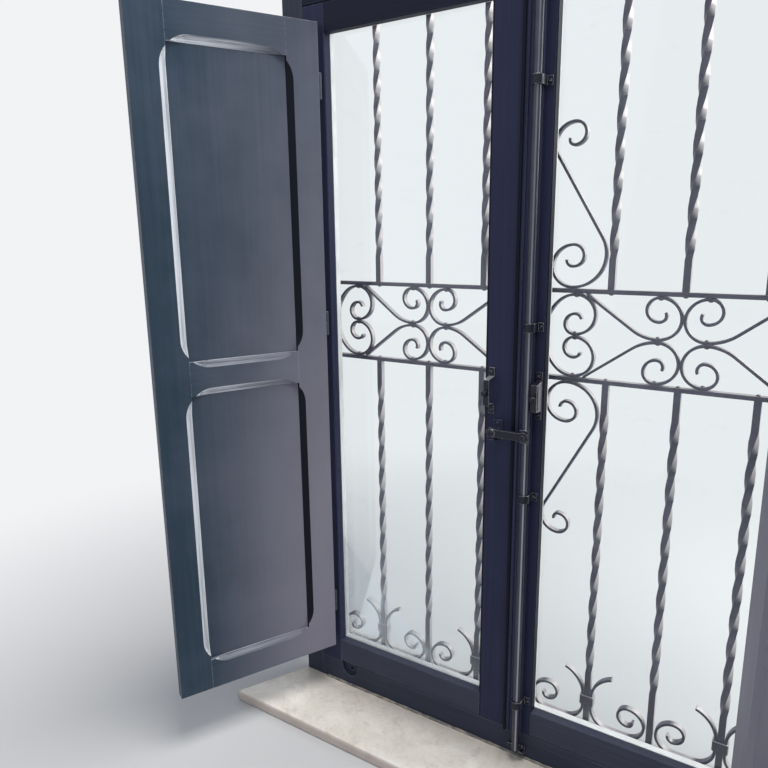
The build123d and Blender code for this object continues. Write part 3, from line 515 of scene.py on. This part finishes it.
def beadPaint():
    paint = Paint("beadPaint")
    local = paint.place()
    patches = paint.noise(local, 22.0, 4.0, 0.6)
    soft, edge = paint.edges(0.0012, 0.2)
    colour = paint.blend(patches.smooth(0.3, 0.7), (0.72, 0.70, 0.70), (0.84, 0.83, 0.84))
    colour = paint.blend(edge * patches * 0.6, colour, (0.45, 0.43, 0.42))
    return paint.finish(
        Base_Color=colour,
        Roughness=0.45 + patches * 0.15,
        Normal=paint.bump(patches, 0.0006, 0.3, soft),
    )


def glassPane():
    paint = Paint("clearGlass")
    local = paint.place()
    smear = paint.noise(paint.place((3, 3, 9)), 2.2, 4.0, 0.6, 0.8)
    dusty = paint.noise(local, 60.0, 3.0, 0.7)
    clear = paint.node("ShaderNodeBsdfTransparent", None, {"Color": (0.955, 0.975, 0.975, 1)})
    mirror = {"Color": (0.9, 0.95, 1.0, 1), "Roughness": 0.03}
    shine = paint.node("ShaderNodeBsdfGlossy", None, mirror)
    film = paint.node("ShaderNodeBsdfDiffuse", None, {"Color": (0.75, 0.78, 0.8, 1)})
    facing = paint.node("ShaderNodeFresnel", None, {"IOR": 1.45})
    glossy = paint.node("ShaderNodeMixShader", None, {0: facing * 0.45, 1: clear, 2: shine})
    dust = smear.smooth(0.52, 0.8) * dusty.smooth(0.35, 0.75) * 0.05 + 0.004
    whole = paint.node("ShaderNodeMixShader", None, {0: dust, 1: glossy, 2: film})
    paint.node("ShaderNodeOutputMaterial", None, {"Surface": whole})
    return paint.material


paintShutters()
paintWindow()
metal = paintIronwork()
iron = grillePaint()
putOn(iron, "grille_rails", "grille_posts", "grille_collars")
putOn(iron, "twisted_bars_lower", "twisted_bars_upper")
putOn(iron, "band_scrolls", "lyre_scrolls", "foot_scrolls")
putOn(marblePaint(), "marble_sill")
putOn(beadPaint(), "left_glazing_beads", "right_glazing_beads")
putOn(glassPane(), "left_glass", "right_glass")
print("materials made")


def deselect():
    if bpy.context.object and bpy.context.object.mode != "OBJECT":
        bpy.ops.object.mode_set(mode="OBJECT")
    bpy.ops.object.select_all(action="DESELECT")


def settle(piece):  # object to the origin, its place into its mesh
    deselect()
    piece.select_set(True)
    bpy.context.view_layer.objects.active = piece
    bpy.ops.object.transform_apply(location=True, rotation=True, scale=True)


def copyTo(source, places):
    made = []
    for place in places:
        piece = source.copy()
        piece.data = source.data.copy()
        piece.data.transform(place)
        bpy.context.scene.collection.objects.link(piece)
        made.append(piece)
    return made


def joinAs(name, parts, material, body):
    deselect()
    for part in parts:
        part.select_set(True)
    bpy.context.view_layer.objects.active = parts[0]
    if len(parts) > 1:
        bpy.ops.object.join()
    piece = bpy.context.object
    piece.name = name
    piece.data.materials.clear()
    piece.data.materials.append(material)
    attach(piece, body)


def pickFaces(test):  # in edit mode, selects the faces that pass the test
    mesh = bmesh.from_edit_mesh(bpy.context.object.data)
    for face in mesh.faces:
        face.select_set(test(face))
    mesh.select_flush_mode()
    bmesh.update_edit_mesh(bpy.context.object.data)


screw = {
    "sides": 20,
    "radius": 0.0031,
    "thick": 0.0006,
    "middle": 0.0002,
    "rise": 0.0011,
    "rings": ((0.45, 0.86), (0.35, 0.78), (0.20, 0.6)),  # share of the rise, and how far it narrows
    "slot": 0.0007,
    "slotDepth": 0.0006,
    "firstTurn": 0.4,
    "nextTurn": 1.9,
}


def addDisc(flat):  # left in edit mode, for its rings to be raised
    deselect()
    bpy.ops.mesh.primitive_cylinder_add(
        vertices=flat["sides"],
        radius=flat["radius"],
        depth=flat["thick"],
        location=(0, 0, flat["middle"]),
    )
    disc = bpy.context.object
    settle(disc)
    bpy.ops.object.mode_set(mode="EDIT")
    bpy.ops.mesh.select_mode(type="FACE")
    return disc


def raiseFaces(rise):
    bpy.ops.mesh.extrude_region_move(TRANSFORM_OT_translate={"value": (0, 0, rise)})


def modelScrew():  # slotted round head whose top looks along Z
    head = addDisc(screw)
    middle, half = screw["middle"], screw["slot"] / 2
    for share, shrink in screw["rings"]:
        pickFaces(lambda face: face.normal.z > 0.9 and face.calc_center_median().z > middle)
        raiseFaces(screw["rise"] * share)
        bpy.ops.transform.resize(value=(shrink, shrink, 1))
    for edge in (-1, 1):
        bpy.ops.mesh.select_all(action="SELECT")
        bpy.ops.mesh.bisect(plane_co=(0, edge * half, 0), plane_no=(0, 1, 0))
    pickFaces(lambda face: face.normal.z > 0.2 and abs(face.calc_center_median().y) < half)
    raiseFaces(-screw["slotDepth"])
    bpy.ops.object.mode_set(mode="OBJECT")
    return head


toRoom = Matrix.Rotation(pi / 2, 4, "X")  # turns a top that looks along Z towards the room


def screwPlaces(points, depth):  # heads on a face towards the room
    places = []
    for number, (x, z) in enumerate(points):
        turn = Matrix.Rotation(screw["firstTurn"] + screw["nextTurn"] * number, 4, "Z")
        places.append(Matrix.Translation((x, depth, z)) @ toRoom @ turn)
    return places


leafHinges = {
    "levels": (0.2480, 0.7765, 1.3050),
    "drops": (0.008, 0.0225, 0.037),
    "onFrame": {"x": 0.4718, "face": -0.002},
    "onLeaf": {"x": 0.4417, "face": -0.0007},
}
shutterHinges = {"levels": (0.2330, 0.8675, 1.3280), "drops": (0.006, 0.0175), "x": 0.4240}
keepers = {"x": 0.0421, "levels": (0.0330, 0.0449, 1.5062, 1.5180), "face": -0.003}
catches = {
    "x": {"left": -0.04225, "right": 0.04775},
    "level": 0.76548,
    "reach": 0.0355,
    "face": -0.0025,
}
guides = {"x": 0.0478, "levels": (0.15135, 0.57676, 0.88804, 1.28492), "face": -0.0028}
lever = {"x": -0.02725, "level": 0.69479, "screws": (0.0005, 0.0115), "face": -0.003}


def addScrews():
    head = modelScrew()

    def addRow(name, points, depth, metalName, body):
        joinAs(name, copyTo(head, screwPlaces(points, depth)), metal[metalName], body)

    def hingeRow(signs, x, way):
        levels = [z + way * drop for z in leafHinges["levels"] for drop in leafHinges["drops"]]
        return [(sign * x, level) for sign in signs for level in levels]

    place = leafHinges["onFrame"]
    onFrame = hingeRow((-1, 1), place["x"], -1)
    addRow("frameHingeScrews", onFrame, place["face"], "hingeMetal", "frame")
    onKeepers = [(keepers["x"], level) for level in keepers["levels"]]
    addRow("keeperScrews", onKeepers, keepers["face"], "boltSteel", "frame")
    place = leafHinges["onLeaf"]
    for side, sign in (("left", -1), ("right", 1)):
        body = side + "_leaf"
        onLeaf = hingeRow((sign,), place["x"], 1)
        for level in shutterHinges["levels"]:
            onLeaf += [(sign * shutterHinges["x"], level - drop) for drop in shutterHinges["drops"]]
        addRow(side + "LeafScrews", onLeaf, place["face"], "hingeMetal", body)
        x, level, reach = catches["x"][side], catches["level"], catches["reach"]
        onCatch = [(x, level - reach), (x, level + reach)]
        addRow(side + "CatchScrews", onCatch, catches["face"], "boltSteel", body)
    onGuides = [(guides["x"], level) for level in guides["levels"]]
    addRow("guideScrews", onGuides, guides["face"], "boltSteel", "right_leaf")
    onRest = [(lever["x"], lever["level"] + rise) for rise in lever["screws"]]
    addRow("leverRestScrews", onRest, lever["face"], "paintedOverSteel", "left_leaf")
    bpy.data.objects.remove(head)


rivet = {
    "front": -0.0350,
    "sides": 36,
    "radius": 0.0078,
    "thick": 0.0008,
    "middle": 0.0003,
    "rings": ((0.0, 0.80), (0.0009, 0.98), (0.0012, 0.86), (0.0009, 0.72), (0.0004, 0.5)),
}


def addLeverRivet():  # domed rivet and washer on the lever's free end
    dome = addDisc(rivet)
    for rise, shrink in rivet["rings"]:
        pickFaces(lambda face: face.normal.z > 0.9 and len(face.verts) > 8)
        raiseFaces(rise)
        bpy.ops.transform.resize(value=(shrink, shrink, 1))
    bpy.ops.mesh.select_all(action="SELECT")
    bpy.ops.mesh.normals_make_consistent(inside=False)
    bpy.ops.object.mode_set(mode="OBJECT")
    bpy.ops.object.shade_smooth_by_angle(angle=radians(35))
    dome.data.transform(Matrix.Translation((lever["x"], rivet["front"], lever["level"])) @ toRoom)
    joinAs("leverRivet", [dome], metal["boltSteel"], "lever")


web = {"x": 0.05265, "thick": 0.0011, "deep": 0.019, "tall": 0.050, "taper": 0.904}


def addCatchWeb():  # side wall of the right catch, behind its turning tongue
    deselect()
    middle = (web["x"], -web["deep"] / 2, catches["level"])
    bpy.ops.mesh.primitive_cube_add(size=1, location=middle)
    wall = bpy.context.object
    bpy.ops.transform.resize(value=(web["thick"], web["deep"], web["tall"]))
    settle(wall)
    bpy.ops.object.mode_set(mode="EDIT")
    bpy.ops.mesh.select_mode(type="FACE")
    pickFaces(lambda face: face.normal.y < -0.9)
    bpy.ops.transform.resize(value=(1, 1, web["taper"]))
    bpy.ops.object.mode_set(mode="OBJECT")
    joinAs("rightCatchWeb", [wall], metal["rightCatchSteel"], "right_leaf")


caulk = {
    "from": -0.452,
    "to": 0.452,
    "step": 0.012,
    "depth": -0.0016,
    "level": 0.0212,
    "radius": 0.0031,
}


def addCaulk():  # filler pressed along the foot of the frame, uneven as a finger leaves it
    deselect()
    bpy.ops.mesh.primitive_circle_add(
        vertices=9,
        radius=caulk["radius"],
        fill_type="NGON",
        location=(caulk["from"], caulk["depth"], caulk["level"]),
        rotation=(0, pi / 2, 0),
    )
    line = bpy.context.object
    settle(line)
    bpy.ops.object.mode_set(mode="EDIT")
    bpy.ops.mesh.select_mode(type="FACE")
    bpy.ops.mesh.select_all(action="SELECT")
    steps = round((caulk["to"] - caulk["from"]) / caulk["step"])
    width = 1.0
    for step in range(steps):
        wider = 1.0 + 0.30 * sin(step * 1.7) * cos(step * 0.53 + 0.8) + 0.12 * sin(step * 4.1)
        middle = (caulk["from"] + (step + 1) * caulk["step"], caulk["depth"], caulk["level"])
        bpy.ops.mesh.extrude_region_move(TRANSFORM_OT_translate={"value": (caulk["step"], 0, 0)})
        growth = wider / width
        bpy.ops.transform.resize(value=(1, growth, growth), center_override=middle)
        width = wider
    bpy.ops.mesh.select_all(action="SELECT")
    bpy.ops.mesh.normals_make_consistent(inside=False)
    bpy.ops.object.mode_set(mode="OBJECT")
    soften = line.modifiers.new("soften", "SUBSURF")
    soften.levels = soften.render_levels = 1
    bpy.ops.object.modifier_apply(modifier="soften")
    bpy.ops.object.shade_smooth()
    joinAs("footCaulk", [line], caulkPaint(), "frame")


def caulkPaint():
    paint = Paint("footCaulk")
    local = paint.place()
    grime = paint.noise(local, 60.0, 4.0, 0.65)
    colour = paint.blend(grime.smooth(0.35, 0.7), (0.10, 0.10, 0.105), (0.30, 0.27, 0.23))
    return paint.finish(
        Base_Color=colour,
        Roughness=0.75 + grime * 0.15,
        Normal=paint.bump(grime, 0.0008, 0.4),
    )


band = {  # of the grille: its rails, and where its scrolls touch bars and each other
    "depth": 0.140,
    "rails": (0.776, 0.936),
    "middle": 0.856,
    "spacing": 0.126,
    "strip": 0.0053,
    "curls": (0.0628, 0.4352, 0.2120, 0.2920),
}
welds = {
    "radius": 0.0030,
    "size": (1.25, 1.5, 0.62),
    "touches": (
        (0.0840, 0.7775), (0.0840, 0.9345),
        (0.4140, 0.7775), (0.4140, 0.9345),
        (0.2520, 0.8160), (0.2520, 0.8960),
        (0.0540, 0.9455), (0.0531, 0.7665),
    ),
}
rivets = {"radius": 0.0046, "size": (1.0, 1.0, 0.0029 / 0.0046)}  # they rise 2.9 mm


def weldPoints():  # where bars lie against each other without a rivet
    points = [(0.0, band["middle"])]
    for side in (-1, 1):
        points += [(side * x, z) for x, z in welds["touches"]]
    return points


def rivetPoints():  # scrolls riveted to the rails and to each other, bar ends hammered over
    low, high = band["rails"]
    strip, middle = band["strip"], band["middle"]
    points = [(band["spacing"] * step, level) for step in range(-3, 4) for level in (low, high)]
    for side in (-1, 1):
        for x in band["curls"]:
            points += [(side * x, low + strip), (side * x, high - strip)]
            points += [(side * x, middle + strip), (side * x, middle - strip)]
    return points


def addBeads(name, points, bead):
    deselect()
    bpy.ops.mesh.primitive_uv_sphere_add(segments=16, ring_count=10, radius=bead["radius"])
    ball = bpy.context.object
    bpy.ops.transform.resize(value=bead["size"])
    settle(ball)
    bpy.ops.object.shade_smooth()
    places = []
    for number, (x, z) in enumerate(points):
        lean = Matrix.Rotation(0.5 * sin(number * 2.3), 4, "Z")
        places.append(Matrix.Translation((x, band["depth"], z)) @ lean)
    joinAs(name, copyTo(ball, places), iron, "frame")
    bpy.data.objects.remove(ball)


addScrews()
addLeverRivet()
addCatchWeb()
addCaulk()
addBeads("scrollWelds", weldPoints(), welds)
addBeads("grilleRivets", rivetPoints(), rivets)
print("screws, rivets, catch wall, caulk and welds made")


backdrop = {"Color": (0.93, 0.94, 0.96, 1), "Strength": 0.95}
ground = {
    "size": 30,
    "level": -0.002,
    "colour": (0.74, 0.74, 0.75),
    "seen": (0.57, 0.572, 0.582),  # what the camera sees, short of clipping to white
    "fade": (0.75, 2.2),
}


def addFloor():  # near the window it takes light and shadow, far off it runs into the backdrop
    deselect()
    bpy.ops.mesh.primitive_plane_add(size=ground["size"], location=(0, 0, ground["level"]))
    floor = bpy.context.object
    floor.name = "paleFloor"
    paint = Paint("paleFloor")
    seen = paint.node("ShaderNodeLightPath", out="Is Camera Ray")
    colour = paint.blend(seen, ground["colour"], ground["seen"])
    matte = paint.node("ShaderNodeBsdfDiffuse", None, {"Color": colour})
    glow = paint.node("ShaderNodeEmission", None, backdrop)
    x, y, _ = paint.parts(paint.place())
    away = ((x * x + y * y) ** 0.5).smooth(*ground["fade"])
    whole = paint.node("ShaderNodeMixShader", None, {0: away * paint.looked(), 1: matte, 2: glow})
    paint.node("ShaderNodeOutputMaterial", None, {"Surface": whole})
    floor.data.materials.append(paint.material)


sky = {"Color": (0.82, 0.86, 0.92, 1), "Strength": 0.6}


def lightWorld():  # the sky lights the window, and the camera sees the backdrop
    paint = Paint("studio", bpy.data.worlds)
    bpy.context.scene.world = paint.material
    light = paint.node("ShaderNodeBackground", None, sky)
    shown = paint.node("ShaderNodeBackground", None, backdrop)
    whole = paint.node("ShaderNodeMixShader", None, {0: paint.looked(), 1: light, 2: shown})
    paint.node("ShaderNodeOutputWorld", None, {"Surface": whole})


lamps = {
    "dayBehind": {
        "at": (1.9, 1.7, 2.0),
        "to": (-0.3, 0.0, 0.7),
        "size": 1.7,
        "power": 85,
        "colour": (1.0, 0.98, 0.95),
    },
    "dayAbove": {
        "at": (0.45, -0.35, 3.2),
        "to": (0.0, -0.15, 0.3),
        "size": 1.3,
        "power": 62,
        "colour": (1.0, 0.98, 0.94),
    },
    "roomSide": {
        "at": (2.6, -1.5, 1.2),
        "to": (-0.3, -0.1, 0.6),
        "size": 1.6,
        "power": 8,
        "colour": (0.95, 0.96, 1.0),
    },
    "roomFill": {
        "at": (-1.6, -2.6, 1.6),
        "to": (0.0, 0.0, 0.7),
        "size": 2.4,
        "power": 9,
        "colour": (0.93, 0.96, 1.0),
    },
}


def addLamps():
    for name, lamp in lamps.items():
        deselect()
        bpy.ops.object.light_add(type="AREA", location=lamp["at"])
        light = bpy.context.object
        light.name = name
        light.data.size = lamp["size"]
        light.data.energy = lamp["power"]
        light.data.color = lamp["colour"]
        away = Vector(lamp["at"]) - Vector(lamp["to"])
        light.rotation_euler = away.to_track_quat("Z", "Y").to_euler()


addFloor()
lightWorld()
addLamps()
bpy.context.scene.view_settings.view_transform = "Standard"
print("floor and lamps set")
